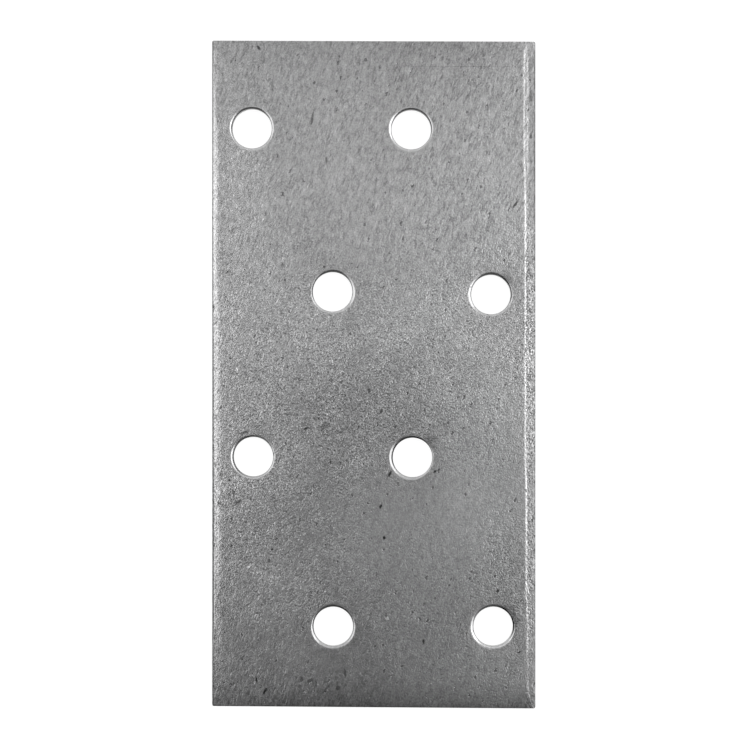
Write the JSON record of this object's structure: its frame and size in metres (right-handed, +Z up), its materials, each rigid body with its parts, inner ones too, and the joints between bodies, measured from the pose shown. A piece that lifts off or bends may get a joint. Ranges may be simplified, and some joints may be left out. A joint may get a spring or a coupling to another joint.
{
  "type": "mending plate",
  "caption": "Flat galvanised steel mending plate with sheared, rolled-over edges and staggered rows of punched nail holes.",
  "frame": {"origin": "centre of the underside's outline, on the plane that the plate lies on", "axes": "+X across the plate to the picture's right, +Y along the plate to the picture's top, +Z up out of the face that the punches and blades struck"},
  "size_m": [0.04, 0.0826, 0.002],
  "materials": {
    "galvanised_steel": "hot-dip galvanised, dull, with a fine grain"
  },
  "bodies": {
    "root": {"plate": "galvanised_steel"}
  },
  "joints": []
}
